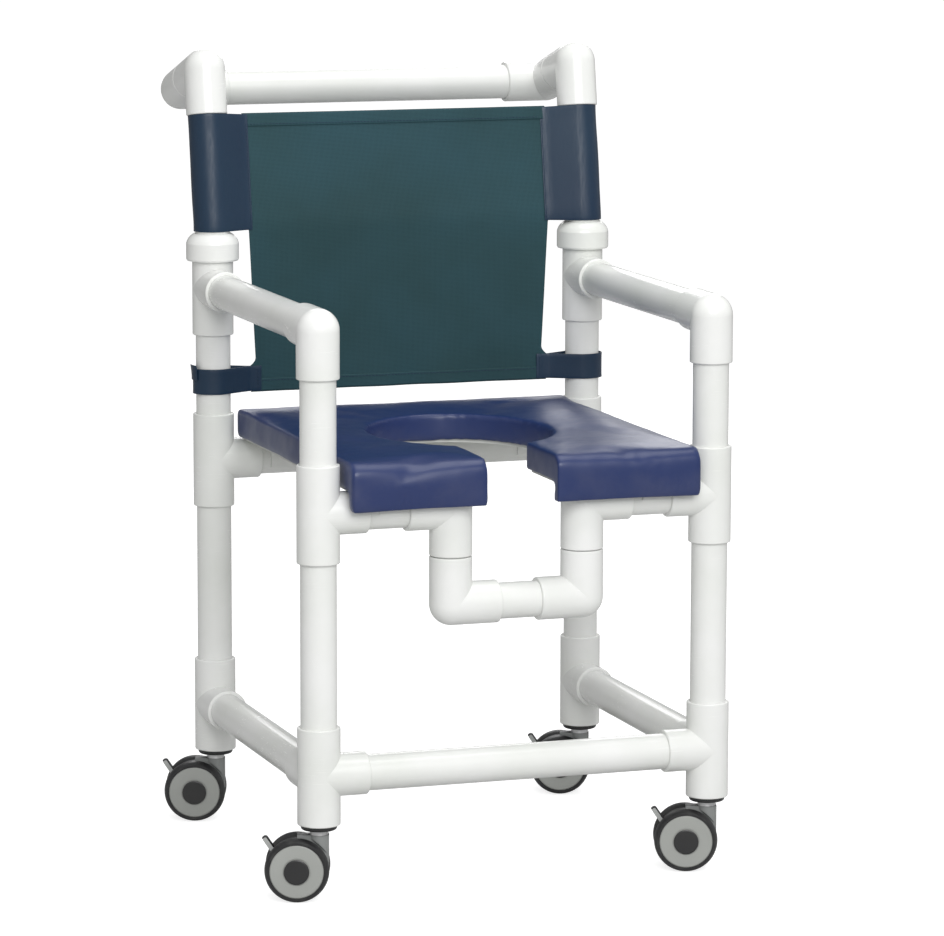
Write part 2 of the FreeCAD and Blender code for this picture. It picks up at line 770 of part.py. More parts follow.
# ---- the whole chair ---------------------------------------------------------------------------------------------------
def build():
    nodes = {
        "front_foot_fittings": both_sides(front_foot_fitting()),
        "rear_foot_tees": both_sides(rear_foot_tee()),
        "base_side_rails": both_sides(base_side_rail()),
        "base_front_rail": base_front_rail(),
        "front_legs": both_sides(leg(-1)),
        "rear_legs": both_sides(leg(1)),
        "front_seat_tees": both_sides(seat_tee(-1)),
        "rear_seat_tees": both_sides(seat_tee(1)),
        "rear_seat_rail": rear_seat_rail(),
        "front_rail_stubs": both_sides(front_rail_stub()),
        "drop_elbows": drop_elbows(),
        "drop_cross_tube": drop_cross_tube(),
        "close_nipples": close_nipples(),
        "front_arm_posts": both_sides(arm_post(-1)),
        "rear_arm_posts": both_sides(arm_post(1)),
        "arm_elbows": both_sides(arm_elbow()),
        "arm_rails": both_sides(arm_rail()),
        "arm_tees": both_sides(arm_tee()),
        "back_collars": both_sides(back_collar()),
        "back_posts": both_sides(back_post()),
        "back_top_elbows": both_sides(back_top_elbow()),
        "handle_elbows": both_sides(handle_elbow()),
        "push_bar": push_bar(),
        "back_sling": back_sling(),
        "seat_pad": seat_pad(),
        "seat_board": seat_board(),
        "seat_saddles": seat_clips(-1),
        "seat_clips": seat_clips(1),
        "seat_screws": seat_screws(),
    }
    plug = caster_plug()
    stem = caster_stem()
    nodes["caster_plugs"] = Part.makeCompound([placed(plug, *spot) for spot in caster_places.values()])
    nodes["caster_stems"] = Part.makeCompound([placed(stem, *spot) for spot in caster_places.values()])
    pieces = caster_nodes()
    for name, spot in caster_places.items():
        for piece, shape in pieces.items():
            nodes["caster_" + name + "_" + piece] = placed(shape, *spot)
    return nodes


os.makedirs("parts", exist_ok=True)
for node_name, node_shape in build().items():
    node_shape.exportStep("parts/" + node_name + ".step")
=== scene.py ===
"""Looks of the commode chair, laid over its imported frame, in metres and in the frame's own axes."""

import math

import bmesh
import bpy
from mathutils import Matrix, Vector, noise


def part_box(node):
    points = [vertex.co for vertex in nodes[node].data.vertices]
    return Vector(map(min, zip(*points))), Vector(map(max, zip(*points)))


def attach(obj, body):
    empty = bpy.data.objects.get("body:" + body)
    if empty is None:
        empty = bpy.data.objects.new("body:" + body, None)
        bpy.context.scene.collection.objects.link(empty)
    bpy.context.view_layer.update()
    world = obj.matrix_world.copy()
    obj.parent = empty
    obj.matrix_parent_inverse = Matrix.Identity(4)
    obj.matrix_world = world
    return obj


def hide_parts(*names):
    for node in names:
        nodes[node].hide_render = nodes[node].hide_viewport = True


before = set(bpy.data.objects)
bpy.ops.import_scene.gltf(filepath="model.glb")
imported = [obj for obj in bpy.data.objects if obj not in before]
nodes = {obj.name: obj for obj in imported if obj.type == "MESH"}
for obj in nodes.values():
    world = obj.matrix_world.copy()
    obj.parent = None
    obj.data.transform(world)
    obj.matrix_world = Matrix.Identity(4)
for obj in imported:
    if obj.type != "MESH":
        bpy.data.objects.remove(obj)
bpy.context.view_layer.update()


# ---- pipe and moulded fittings ----
# Extruded pipe and injection-moulded sockets of furniture-grade PVC, solvent cemented together. The
# plastic is glossy white with a faint green-grey cast, and carries small scuffs of daily handling.
PVC_COLOUR = (0.845, 0.85, 0.835, 1)
PVC_SHADE = (0.77, 0.785, 0.75, 1)
PLASTIC_IOR = 1.52
PVC_NODES = [
    "front_foot_fittings", "rear_foot_tees", "base_side_rails", "base_front_rail",
    "front_legs", "rear_legs", "front_seat_tees", "rear_seat_tees", "rear_seat_rail",
    "front_rail_stubs", "drop_elbows", "drop_cross_tube", "close_nipples",
    "front_arm_posts", "rear_arm_posts", "arm_elbows", "arm_rails", "arm_tees",
    "back_collars", "back_posts", "back_top_elbows", "handle_elbows", "push_bar",
]


def add_node(tree, kind, **inputs):
    """Adds a shader node and sets its named inputs."""
    node = tree.nodes.new(kind)
    for name, value in inputs.items():
        node.inputs[name].default_value = value
    return node


def noise_on(tree, place, scale, detail, roughness=0.5):
    """Noise over a position socket."""
    node = add_node(tree, "ShaderNodeTexNoise", Scale=scale, Detail=detail, Roughness=roughness)
    tree.links.new(place, node.inputs["Vector"])
    return node.outputs["Fac"]


def between(tree, value, low, high):
    """Stretches a value so that low becomes 0 and high becomes 1, and clamps it."""
    node = tree.nodes.new("ShaderNodeMapRange")
    node.inputs["From Min"].default_value = low
    node.inputs["From Max"].default_value = high
    tree.links.new(value, node.inputs["Value"])
    return node.outputs["Result"]


def reckon(tree, operation, first, second):
    """One sum on two sockets or numbers."""
    node = tree.nodes.new("ShaderNodeMath")
    node.operation = operation
    for socket, value in zip(node.inputs, (first, second)):
        if isinstance(value, bpy.types.NodeSocket):
            tree.links.new(value, socket)
        else:
            socket.default_value = value
    return node.outputs["Value"]


def scaled(tree, value, factor, start):
    """A socket times factor, plus start."""
    result = reckon(tree, "MULTIPLY_ADD", value, factor)
    result.node.inputs[2].default_value = start
    return result


def blend_colours(tree, amount, first, second):
    """Mixes two colours, each a socket or a plain value, by a socket."""
    node = tree.nodes.new("ShaderNodeMix")
    node.data_type = "RGBA"
    tree.links.new(amount, node.inputs[0])
    for socket, value in zip((node.inputs[6], node.inputs[7]), (first, second)):
        if isinstance(value, bpy.types.NodeSocket):
            tree.links.new(value, socket)
        else:
            socket.default_value = value
    return node.outputs[2]


def handling_group():
    """Marks left on any hard plastic: soft mottling, fine scratches and the ripple of the moulding."""
    group = bpy.data.node_groups.new("handling_marks", "ShaderNodeTree")
    for name in ("Mottle", "Scratches", "Ripple"):
        group.interface.new_socket(name=name, in_out="OUTPUT", socket_type="NodeSocketFloat")
    out = group.nodes.new("NodeGroupOutput")
    place = group.nodes.new("ShaderNodeTexCoord").outputs["Object"]
    stretch = add_node(group, "ShaderNodeMapping", Scale=(14, 90, 900), Rotation=(0.5, 0.9, 0.3))
    group.links.new(place, stretch.inputs["Vector"])
    mottle = between(group, noise_on(group, place, 9, 4), 0.35, 0.7)
    patches = between(group, noise_on(group, place, 17, 3), 0.5, 0.68)
    fine = between(group, noise_on(group, stretch.outputs["Vector"], 1, 3, 0.6), 0.6, 0.72)
    ripple = noise_on(group, place, 160, 2)
    group.links.new(mottle, out.inputs["Mottle"])
    group.links.new(reckon(group, "MULTIPLY", fine, patches), out.inputs["Scratches"])
    group.links.new(ripple, out.inputs["Ripple"])
    return group


handling = handling_group()


def new_material(name):
    """A fresh material with its tree and its surface shader."""
    material = bpy.data.materials.new(name)
    material.use_nodes = True
    return material, material.node_tree, material.node_tree.nodes["Principled BSDF"]


def bump(tree, shader, height, distance, strength=1.0):
    """Feeds a height socket to the shader's normal."""
    node = add_node(tree, "ShaderNodeBump", Strength=strength, Distance=distance)
    tree.links.new(height, node.inputs["Height"])
    tree.links.new(node.outputs["Normal"], shader.inputs["Normal"])


def hard_plastic(name, colour, shade, roughness, scuffed, ripple):
    """Moulded or extruded plastic with handling marks."""
    material, tree, shader = new_material(name)
    marks = tree.nodes.new("ShaderNodeGroup")
    marks.node_tree = handling
    tint = blend_colours(tree, marks.outputs["Mottle"], colour, shade)
    tree.links.new(tint, shader.inputs["Base Color"])
    rough = scaled(tree, marks.outputs["Scratches"], scuffed, roughness)
    tree.links.new(rough, shader.inputs["Roughness"])
    shader.inputs["IOR"].default_value = PLASTIC_IOR
    bump(tree, shader, marks.outputs["Ripple"], ripple, 0.5)
    return material


def dress(names, material):
    """Gives CAD nodes their material."""
    for name in names:
        mesh = nodes[name].data
        mesh.materials.clear()
        mesh.materials.append(material)


dress(PVC_NODES, hard_plastic("white_pvc", PVC_COLOUR, PVC_SHADE,
                              roughness=0.2, scuffed=0.3, ripple=0.00006))


# ---- back sling ----
# A panel of teal vinyl-coated mesh with a sleeve of navy coated fabric down each side, slid over the
# back posts from above, and a navy strap at each lower corner round the arm post. Hems and seams are
# stitched in navy thread. Heights are lengths up the posts' centre line from the floor.
POST_X = 0.24
POST_Y = 0.218
LEAN = math.radians(9.5)
LEAN_START = 0.738
LEAN_BLEND = 0.010  # length of the bend on each side of its middle
CLOTH_THICK = 0.0011
SEAM_X = 0.193
PANEL_BOTTOM = 0.532
PANEL_TOP = 0.8717
PANEL_LAP = 0.004  # how far the panel runs into the sleeve past the seam
PANEL_COLUMNS = 96
PANEL_ROWS = 110
PANEL_SAG = 0.0055
SAG_AT_ENDS = 0.45  # of the sag, at the top and bottom hems
SAG_RISE = 0.75  # what the middle adds to that
PANEL_RIPPLE = 0.0016
PANEL_COCKLE = 0.0009
EDGE_LOW = 0.1855  # half width a little above the straps
EDGE_GROWTH = 0.0085  # how much wider it is at the sleeves
CORNER_ROUND = 0.010
CORNER_GROWTH = 0.0075
HEM_ROWS = 26
HEM_WIDTH = 0.016
HEM_THICK = 0.0007
HEM_GAP = 0.0012  # from the panel's middle to the hem's
HEM_FOLD = 0.06  # share of the strip that turns round the edge
HEM_OVER = 0.0009
HEM_SHORT = 0.001
SLEEVE_BOTTOM = 0.7305
SLEEVE_RADIUS = 0.0226
SLEEVE_LIP = 0.0035
SLEEVE_SLACK = 0.03
STRAP_TOP = 0.563
STRAP_RADIUS = 0.0222
STRAP_LIP = 0.014
STRAP_SLACK = 0.012
STRAP_LOOSE = 1.11  # how much further out the strap stands on the post's outer side
LIP_GAP = 0.0011  # from the panel's middle to a sleeve's lip
SEAM_GAP = 0.0013
SEAM_TURN = 0.004
SEAM_OPENS = 0.0027
STRAIGHT_STEPS = 6
ROUND_STEPS = 30
LOOP_FREE = 0.040  # from the post's axis, where the sewn part begins
LOOP_FLARE = 0.012
LOOP_ROW = 0.004
TAB_DOWN = 0.014
TAB_LENGTH = 0.0185
TAB_ARC = 0.62
TAB_TURN = 0.72
TAB_OUT = 0.0013
TAB_CURL = 0.0016
TAB_THICK = 0.0014
LIP_TOP = 0.0018  # from the panel's middle to the face that a seam's stitches lie on
HEM_TOP = 0.0017
SEAM_SPLIT = 0.0015  # from the seam to each of its two stitch rows
HEM_ROW = 0.0125
STRAP_ROW = 0.0095
ROW_END = 0.003
ROW_START = 0.006
ROW_SHORT = 0.014  # how much shorter a hem's row is than the panel is wide
SLEEVE_ROW = 0.129
SHORT_ROW = 0.026
STITCH_PITCH = 0.0042
STITCH_SHARE = 0.76  # of the pitch that the thread lies on top
STITCH_LIFT = 0.0004
STITCH_SUNK = 0.0002
STITCH_WIDE = 0.00045
STITCH_TIP = 0.35  # how thin the thread is where it goes in
STITCH_AHEAD = 0.0005
STITCH_SIDES = 6
STITCH_STEPS = 4


def post_line(s):
    """Point on the post's centre line at a height s along it, with the direction out to the front."""
    start = LEAN_START - LEAN_BLEND
    angle = LEAN * min(max((s - start) / (2 * LEAN_BLEND), 0), 1)
    if s <= start:
        y, z = POST_Y, s
    else:
        turn = min(s - start, 2 * LEAN_BLEND)
        y = POST_Y + 0.5 * turn * math.sin(angle)
        z = start + turn * math.cos(0.5 * angle)
        beyond = max(s - LEAN_START - LEAN_BLEND, 0)
        y += beyond * math.sin(LEAN)
        z += beyond * math.cos(LEAN)
    return Vector((0, y, z)), Vector((0, -math.cos(angle), math.sin(angle)))


def link_new(name, data):
    """A new object in the scene for a mesh, lamp or camera."""
    obj = bpy.data.objects.new(name, data)
    bpy.context.scene.collection.objects.link(obj)
    return obj


def grid(name, columns, rows, point):
    """A sheet of quads through point(u, v), both from 0 to 1."""
    verts = [point(i / columns, j / rows) for j in range(rows + 1) for i in range(columns + 1)]
    wide = columns + 1
    faces = [
        (j * wide + i, j * wide + i + 1, (j + 1) * wide + i + 1, (j + 1) * wide + i)
        for j in range(rows)
        for i in range(columns)
    ]
    mesh = bpy.data.meshes.new(name)
    mesh.from_pydata(verts, [], faces)
    return link_new(name, mesh)


def thicken(obj, thickness, round_edges=True):
    """Turns a sheet into a closed solid of even thickness with eased edges."""
    solid = obj.modifiers.new("thickness", "SOLIDIFY")
    solid.thickness = thickness
    solid.offset = 0
    solid.use_even_offset = True
    if round_edges:
        ease = obj.modifiers.new("eased edges", "BEVEL")
        ease.width = 0.3 * thickness
        ease.segments = 2
        ease.limit_method = "ANGLE"
    bake_modifiers(obj)
    obj.data.polygons.foreach_set("use_smooth", [True] * len(obj.data.polygons))
    return obj


def bake_modifiers(obj):
    """Replaces the mesh with its shape after every modifier."""
    graph = bpy.context.evaluated_depsgraph_get()
    graph.update()
    mesh = bpy.data.meshes.new_from_object(obj.evaluated_get(graph))
    obj.modifiers.clear()
    obj.data = mesh


def stitches(line, length):
    """A row of raised stitches along line(s), which gives a point and the cloth's outward normal."""
    verts, faces = [], []
    sides = STITCH_SIDES
    for k in range(int(length / STITCH_PITCH)):
        start = len(verts)
        for step in range(STITCH_STEPS + 1):
            t = step / STITCH_STEPS
            s = (k + 0.5 * (1 - STITCH_SHARE) + STITCH_SHARE * t) * STITCH_PITCH
            here, out = line(s)
            ahead, _ = line(s + STITCH_AHEAD)
            across = (ahead - here).normalized().cross(out).normalized()
            rise = STITCH_LIFT * math.sin(math.pi * t) - STITCH_SUNK
            size = STITCH_WIDE * (STITCH_TIP + (1 - STITCH_TIP) * math.sin(math.pi * t))
            for turn in range(sides):
                a = math.tau * turn / sides
                verts.append(here + out * (rise + size * math.sin(a)) + across * size * math.cos(a))
        for step in range(STITCH_STEPS):
            for turn in range(sides):
                a = start + step * sides + turn
                b = start + step * sides + (turn + 1) % sides
                faces.append((a, b, b + sides, a + sides))
        faces.append(tuple(start + turn for turn in range(sides - 1, -1, -1)))
        faces.append(tuple(start + STITCH_STEPS * sides + turn for turn in range(sides)))
    mesh = bpy.data.meshes.new("row")
    mesh.from_pydata(verts, [], faces)
    mesh.polygons.foreach_set("use_smooth", [True] * len(mesh.polygons))
    return link_new("row", mesh)


def joined(name, objects):
    """Makes one object of several meshes."""
    mesh = bmesh.new()
    for obj in objects:
        mesh.from_mesh(obj.data)
        bpy.data.objects.remove(obj)
    result = bpy.data.meshes.new(name)
    mesh.to_mesh(result)
    mesh.free()
    return link_new(name, result)


def side_edge(s):
    """Half width of the panel at a height: full at the sleeve, drawn in a little below it."""
    if s >= SLEEVE_BOTTOM:
        return SEAM_X + PANEL_LAP
    span = (s - STRAP_TOP) / (SLEEVE_BOTTOM - STRAP_TOP)
    if span <= 0:
        return SEAM_X
    low = (1 - min(span * (SLEEVE_BOTTOM - STRAP_TOP) / CORNER_ROUND, 1)) ** 2
    return EDGE_LOW + EDGE_GROWTH * span + CORNER_GROWTH * low


def panel_point(x, s, half):
    """Point of the panel's middle: it bellies to the rear and ripples a little by the straps."""
    base, out = post_line(s)
    share = x / half
    height = (s - PANEL_BOTTOM) / (PANEL_TOP - PANEL_BOTTOM)
    free = 1 - share * share
    belly = PANEL_SAG * free * (SAG_AT_ENDS + SAG_RISE * math.sin(math.pi * min(max(height, 0), 1)))
    pull = PANEL_RIPPLE * free * math.sin(13 * share + 2.2 * height) * math.exp(-6 * height)
    soft = PANEL_COCKLE * noise.noise(Vector((x * 16, s * 11, 3.7)))
    return base + Vector((x, 0, 0)) - out * (belly + pull + soft)


def build_panel():
    """The mesh panel, from sleeve to sleeve."""
    def point(u, v):
        s = PANEL_BOTTOM + v * (PANEL_TOP - PANEL_BOTTOM)
        half = side_edge(s)
        return panel_point((2 * u - 1) * half, s, half)

    return thicken(grid("back_panel", PANEL_COLUMNS, PANEL_ROWS, point), CLOTH_THICK)


def build_hem(name, edge, inward):
    """A strip of the mesh folded over a cross edge and lying on both faces of the panel."""
    def point(u, v):
        half = side_edge(edge) - HEM_SHORT
        x = (2 * u - 1) * half
        reach = abs(2 * v - 1)
        face = 1 if v < 0.5 else -1
        s = edge + inward * HEM_WIDTH * max(reach - HEM_FOLD, 0)
        gap = HEM_GAP * min(1, reach / HEM_FOLD) * face
        if reach < HEM_FOLD:
            s = edge - inward * HEM_OVER * math.cos(0.5 * math.pi * reach / HEM_FOLD)
        _, out = post_line(s)
        return panel_point(x, s, half) + out * gap

    return thicken(grid(name, PANEL_COLUMNS, HEM_ROWS, point), HEM_THICK, False)


def loop_path(radius, reach, lip):
    """Cross-section of a sleeve: flat lips at the seam, straight sides, then round the post."""
    touch = math.acos(radius / reach)
    front = [(reach + lip, LIP_GAP), (reach + 0.6 * lip, LIP_GAP), (reach, SEAM_GAP)]
    start = Vector((reach - SEAM_TURN, SEAM_OPENS))
    end = Vector((radius * math.cos(touch), radius * math.sin(touch)))
    for step in range(STRAIGHT_STEPS + 1):
        front.append(tuple(start.lerp(end, step / STRAIGHT_STEPS)))
    around = []
    for step in range(1, ROUND_STEPS):
        a = touch + (math.tau - 2 * touch) * step / ROUND_STEPS
        around.append((radius * math.cos(a), radius * math.sin(a)))
    return front + around + [(x, -y) for x, y in front[::-1]]


def build_loop(name, side, radius, low, high, lip, slack, loose=1.0):
    """A sleeve or strap round a post, from one height to another."""
    path = loop_path(radius, POST_X - SEAM_X, lip)

    def point(u, v):
        place = u * (len(path) - 1)
        first = min(int(place), len(path) - 2)
        mix = place - first
        x = path[first][0] * (1 - mix) + path[first + 1][0] * mix
        y = path[first][1] * (1 - mix) + path[first + 1][1] * mix
        s = low + v * (high - low)
        base, out = post_line(s)
        spread = 1 + slack * noise.noise(Vector((4 * u + side * 9, s * 17, 1.3)))
        flare = 1 + LOOP_FLARE * (abs(2 * v - 1) ** 8)
        if x < LOOP_FREE:
            y *= spread * flare
        if x < 0:
            x *= spread * flare * (1 + (loose - 1) * min(1, -x / radius))
        return base + Vector((side * (POST_X - x), 0, 0)) + out * y

    rows = max(6, int((high - low) / LOOP_ROW))
    return thicken(grid(name, len(path) - 1, rows, point), CLOTH_THICK)


def seam_line(side, x, low, front):
    """Stitch path up a sleeve's or strap's lip."""
    def line(s):
        base, out = post_line(low + s)
        return base + Vector((side * x, 0, 0)) + out * front * LIP_TOP, out * front

    return line


def hem_line(height, front):
    """Stitch path across the panel near its top or bottom edge."""
    def line(s):
        half = side_edge(height)
        _, out = post_line(height)
        return panel_point(s - half + ROW_START, height, half) + out * front * HEM_TOP, out * front

    return line


def strap_tab(side):
    """The strap's free end, which stands up a little at the outer side of the post."""
    def point(u, v):
        base, out = post_line(STRAP_TOP - TAB_DOWN + v * TAB_LENGTH)
        a = math.pi + (u - TAB_TURN) * TAB_ARC
        radius = STRAP_RADIUS * STRAP_LOOSE + TAB_OUT + TAB_CURL * v * v
        away = Vector((side * (POST_X - radius * math.cos(a)), 0, 0))
        return base + away + out * radius * math.sin(a)

    return thicken(grid("strap_tab", 10, 8, point), TAB_THICK)


def build_sewing():
    """Stitch rows on both faces: two up each sleeve seam, one up each strap lip, one along each hem."""
    rows = []
    for side in (-1, 1):
        for front in (1, -1):
            for x in (SEAM_X + SEAM_SPLIT, SEAM_X - SEAM_SPLIT):
                rows.append(stitches(seam_line(side, x, SLEEVE_BOTTOM + ROW_END, front), SLEEVE_ROW))
            lip = seam_line(side, SEAM_X - STRAP_ROW, PANEL_BOTTOM + ROW_END, front)
            rows.append(stitches(lip, SHORT_ROW))
    for front in (1, -1):
        for height in (PANEL_TOP - HEM_ROW, PANEL_BOTTOM + HEM_ROW):
            length = 2 * side_edge(height) - ROW_SHORT
            rows.append(stitches(hem_line(height, front), length))
    return joined("sling_stitches", rows)


panel = build_panel()
hems = joined("sling_hems", [
    build_hem("hem_top", PANEL_TOP, -1),
    build_hem("hem_bottom", PANEL_BOTTOM, 1),
])
sleeves = joined("sling_sleeves", [
    build_loop("sleeve", side, SLEEVE_RADIUS, SLEEVE_BOTTOM, PANEL_TOP, SLEEVE_LIP, SLEEVE_SLACK)
    for side in (-1, 1)
])
straps = joined("sling_straps", [
    build_loop("strap", side, STRAP_RADIUS, PANEL_BOTTOM, STRAP_TOP, STRAP_LIP, STRAP_SLACK, STRAP_LOOSE)
    for side in (-1, 1)
] + [strap_tab(-1)])
sewing = build_sewing()


def weave_group():
    """Plain weave of coated yarn, at its real pitch, as a height and as the dark of the gaps."""
    group = bpy.data.node_groups.new("mesh_weave", "ShaderNodeTree")
    group.interface.new_socket(name="Pitch", in_out="INPUT", socket_type="NodeSocketFloat")
    for name in ("Height", "Gaps"):
        group.interface.new_socket(name=name, in_out="OUTPUT", socket_type="NodeSocketFloat")
    entry = group.nodes.new("NodeGroupInput").outputs["Pitch"]
    out = group.nodes.new("NodeGroupOutput")
    place = group.nodes.new("ShaderNodeTexCoord").outputs["Object"]
    apart = group.nodes.new("ShaderNodeSeparateXYZ")
    group.links.new(place, apart.inputs[0])
    waves = []
    for axis in ("X", "Z"):
        turned = reckon(group, "MULTIPLY", reckon(group, "DIVIDE", apart.outputs[axis], entry), math.pi)
        waves.append(reckon(group, "ABSOLUTE", reckon(group, "SINE", turned, 0), 0))
    height = reckon(group, "MAXIMUM", waves[0], waves[1])
    group.links.new(height, out.inputs["Height"])
    group.links.new(reckon(group, "SUBTRACT", 1, height), out.inputs["Gaps"])
    return group


weave = weave_group()


def woven(name, colour, shade, gap_colour, pitch, roughness, streaks, shine, sheen, height):
    """Coated cloth with a visible weave and soft, uneven wear."""
    material, tree, shader = new_material(name)
    cloth = tree.nodes.new("ShaderNodeGroup")
    cloth.node_tree = weave
    cloth.inputs["Pitch"].default_value = pitch
    place = tree.nodes.new("ShaderNodeTexCoord").outputs["Object"]
    wear = between(tree, noise_on(tree, place, 7, 4), 0.3, 0.7)
    tint = blend_colours(tree, wear, colour, shade)
    gaps = between(tree, cloth.outputs["Gaps"], 0.15, 0.75)
    tree.links.new(blend_colours(tree, gaps, tint, gap_colour), shader.inputs["Base Color"])
    streak = add_node(tree, "ShaderNodeMapping", Scale=(420, 420, 14))
    tree.links.new(place, streak.inputs["Vector"])
    streaked = between(tree, noise_on(tree, streak.outputs["Vector"], 1, 4), 0.35, 0.7)
    tree.links.new(scaled(tree, streaked, streaks, roughness), shader.inputs["Roughness"])
    shader.inputs["Specular IOR Level"].default_value = shine
    shader.inputs["Sheen Weight"].default_value = sheen
    shader.inputs["Sheen Roughness"].default_value = 0.4
    bump(tree, shader, cloth.outputs["Height"], height, 0.6)
    return material


sling_mesh = woven(
    "sling_mesh", colour=(0.024, 0.074, 0.092, 1), shade=(0.019, 0.058, 0.066, 1),
    gap_colour=(0.008, 0.022, 0.03, 1), pitch=0.0016, roughness=0.62, streaks=0.05,
    shine=0.22, sheen=0.02, height=0.00025)
sleeve_vinyl = woven(
    "sleeve_vinyl", colour=(0.008, 0.026, 0.058, 1), shade=(0.011, 0.034, 0.066, 1),
    gap_colour=(0.006, 0.02, 0.045, 1), pitch=0.0007, roughness=0.30, streaks=0.22,
    shine=0.40, sheen=0.02, height=0.00008)
thread = woven(
    "navy_thread", colour=(0.012, 0.034, 0.07, 1), shade=(0.01, 0.03, 0.06, 1),
    gap_colour=(0.008, 0.02, 0.05, 1), pitch=0.0004, roughness=0.6, streaks=0.05,
    shine=0.3, sheen=0.05, height=0.00005)
for piece, material, name in (
    (panel, sling_mesh, "sling_mesh"),
    (hems, sling_mesh, "sling_mesh"),
    (sleeves, sleeve_vinyl, "sleeve_vinyl"),
    (straps, sleeve_vinyl, "sleeve_vinyl"),
    (sewing, thread, "sleeve_vinyl"),
):
    piece.data.materials.clear()
    piece.data.materials.append(material)
    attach(piece, "frame")
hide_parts("back_sling")


# ---- seat pad ----
# Foam over a plastic board, covered in glossy navy upholstery vinyl drawn tight over the board's edge.
# The opening runs to the front between two horns, and the front turns down over the rail as a lip.
PAD_INSET = 0.0026  # how far inside its finished size the pad starts
PAD_VOXEL = 0.005
PAD_PRESSURE = 4.0
PAD_FRAMES = 20
PAD_UNDER = 0.4766
PAD_TOP = 0.512
PAD_FRONT = -0.262
PAD_REAR = 0.214
PAD_HALF = 0.2133
PAD_CORNER = 0.045
PAD_TAUT = 0.55
PAD_TAUT_CORNER = 0.95
PAD_REACH = 0.012  # the most that the vinyl may move
FOAM_SOFT = 0.0007
FOAM_GRAIN = 0.00025
LIP_BOTTOM = 0.455
LIP_DEPTH = 0.024
LIP_BACK = 0.0135
HELD_EDGE = 0.002
HELD_BACK = 0.003
HELD_FADE = 0.008
HELD_FADE_LIP = 0.006
TUCK_START = 0.022
TUCK_FADE = 0.006
VINYL_TUCK = 0.0018
GATHER_DEPTH = 0.012
GATHER_MIDDLE = 0.011
GATHER_HEIGHT = 0.0065
GATHERS = (  # middle across the seat, half width, folds, depth
    (-0.147, 0.017, 4, 0.0009),
    (0.100, 0.014, 3, 0.0004),
    (0.178, 0.026, 5, 0.0004),
)
VINYL_COLOUR = (0.012, 0.027, 0.112, 1)
# Grey of the scuffs and of a painted reflection on the pad's sides
VINYL_SCUFF_AND_REFLECTION = (0.11, 0.11, 0.15, 1)


def shrunk_copy(name, source, inset):
    """A new mesh just inside a CAD solid, to be filled out again by its foam."""
    mesh = bmesh.new()
    mesh.from_mesh(source.data)
    bmesh.ops.remove_doubles(mesh, verts=mesh.verts, dist=1e-6)
    result = bpy.data.meshes.new(name)
    mesh.to_mesh(result)
    mesh.free()
    obj = link_new(name, result)
    even = obj.modifiers.new("even quads", "REMESH")
    even.mode = "VOXEL"
    even.voxel_size = PAD_VOXEL
    draw_in = obj.modifiers.new("under the finished size", "DISPLACE")
    draw_in.strength = -inset
    draw_in.mid_level = 0
    ease = obj.modifiers.new("eased", "SMOOTH")
    ease.iterations = 2
    bake_modifiers(obj)
    return obj


def tightness(co):
    """How closely the vinyl keeps to the foam's cut shape: partly on the faces, most at the corners."""
    near = 0.0
    for x in (-PAD_HALF, PAD_HALF):
        for y in (PAD_REAR, PAD_FRONT):
            near = max(near, math.exp(-((co.x - x) ** 2 + (co.y - y) ** 2) / PAD_CORNER ** 2))
    return PAD_TAUT + (PAD_TAUT_CORNER - PAD_TAUT) * near


def fade(height, length):
    """1 below a height of 0, falling to 0 over a length above it."""
    return 1 - min(max(height / length, 0), 1)


def held_by_board(co):
    """How firmly a point is held: the underside, the lip's foot and the back of the lip don't move."""
    if co.y >= PAD_FRONT + LIP_DEPTH:
        return fade(co.z - PAD_UNDER - HELD_EDGE, HELD_FADE)
    if co.y > PAD_FRONT + LIP_BACK and co.z < PAD_UNDER + HELD_BACK:
        return 1
    return fade(co.z - LIP_BOTTOM - HELD_EDGE, HELD_FADE_LIP)


def inflate(obj):
    """Lets the foam push the vinyl out from the board, then draws it back towards the cut shape."""
    held = obj.vertex_groups.new(name="on_board")
    for vertex in obj.data.vertices:
        held.add([vertex.index], held_by_board(vertex.co), "REPLACE")
    full = [v.co + v.normal * PAD_INSET for v in obj.data.vertices]
    cloth = obj.modifiers.new("vinyl", "CLOTH")
    settings = cloth.settings
    settings.quality = 6
    settings.mass = 0.4
    settings.tension_stiffness = 60
    settings.compression_stiffness = 60
    settings.shear_stiffness = 30
    settings.bending_stiffness = 8
    settings.use_pressure = True
    settings.uniform_pressure_force = PAD_PRESSURE
    settings.vertex_group_mass = "on_board"
    settings.effector_weights.gravity = 0
    cloth.point_cache.frame_start = 1
    cloth.point_cache.frame_end = PAD_FRAMES
    before = [v.co.copy() for v in obj.data.vertices]
    for step in range(1, PAD_FRAMES + 1):
        bpy.context.scene.frame_set(step)
    graph = bpy.context.evaluated_depsgraph_get()
    blown = obj.evaluated_get(graph).data.vertices
    moves = [blown[i].co - before[i] for i in range(len(before))]
    obj.modifiers.clear()
    obj.vertex_groups.clear()
    for vertex, move, cut in zip(obj.data.vertices, moves, full):
        far = max(move.length, 1e-9)
        settled = vertex.co + move * (min(far, PAD_REACH) / far)
        vertex.co = settled.lerp(cut, tightness(vertex.co))
    bpy.context.scene.frame_set(1)


def gather(co):
    """Small gathers low on the front of each horn, where the vinyl is drawn under."""
    if co.y > PAD_FRONT + GATHER_DEPTH:
        return 0.0
    push = 0.0
    low = math.exp(-((co.z - LIP_BOTTOM - GATHER_MIDDLE) / GATHER_HEIGHT) ** 2)
    wander = 1.8 * noise.noise(Vector((co.x * 55, co.z * 60, 2.1)))
    for middle, width, folds, deep in GATHERS:
        near = math.exp(-((co.x - middle) / width) ** 2)
        fan = (co.x - middle) * (1 + 14 * (co.z - LIP_BOTTOM))
        push += deep * near * low * math.sin(folds * math.pi * fan / width + wander)
    return push


